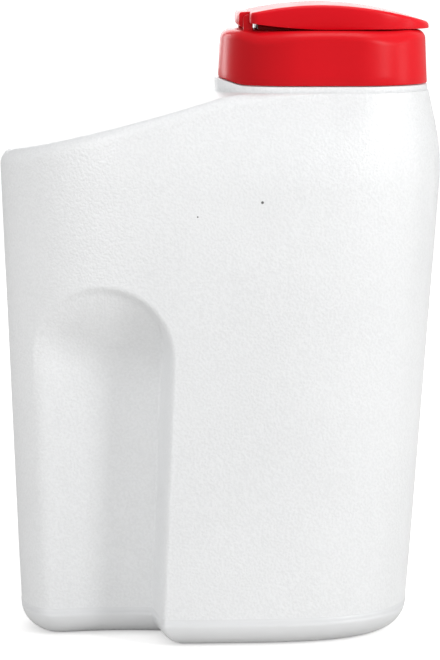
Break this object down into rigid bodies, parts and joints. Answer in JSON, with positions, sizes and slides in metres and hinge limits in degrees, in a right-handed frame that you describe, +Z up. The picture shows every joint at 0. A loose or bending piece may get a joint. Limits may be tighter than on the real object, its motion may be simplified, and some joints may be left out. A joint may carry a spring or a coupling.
{
  "type": "plastic carafe",
  "caption": "Slim white plastic carafe with a finger grip moulded into its narrow end, a sloping shoulder and a red cap with a hinged flip lid over the pouring hole.",
  "frame": {"origin": "on the floor, under the middle of the whole carafe", "axes": "+Z up, +X towards the pouring end, -Y towards the side shown"},
  "size_m": [0.2082, 0.1078, 0.2999],
  "materials": {
    "bottle": "fine grained, slightly translucent",
    "cap": "satin gloss",
    "lid": "satin gloss"
  },
  "bodies": {
    "carafe": {"bottle": "bottle", "cap": "cap"},
    "lid": {"flip_lid": "lid"}
  },
  "joints": [
    {"name": "lid_hinge", "type": "hinge", "parent": "carafe", "child": "lid", "pos_m": [0.0115, 0, 0.292], "axis": [0, -1, 0], "range_deg": [0, 100]}
  ]
}
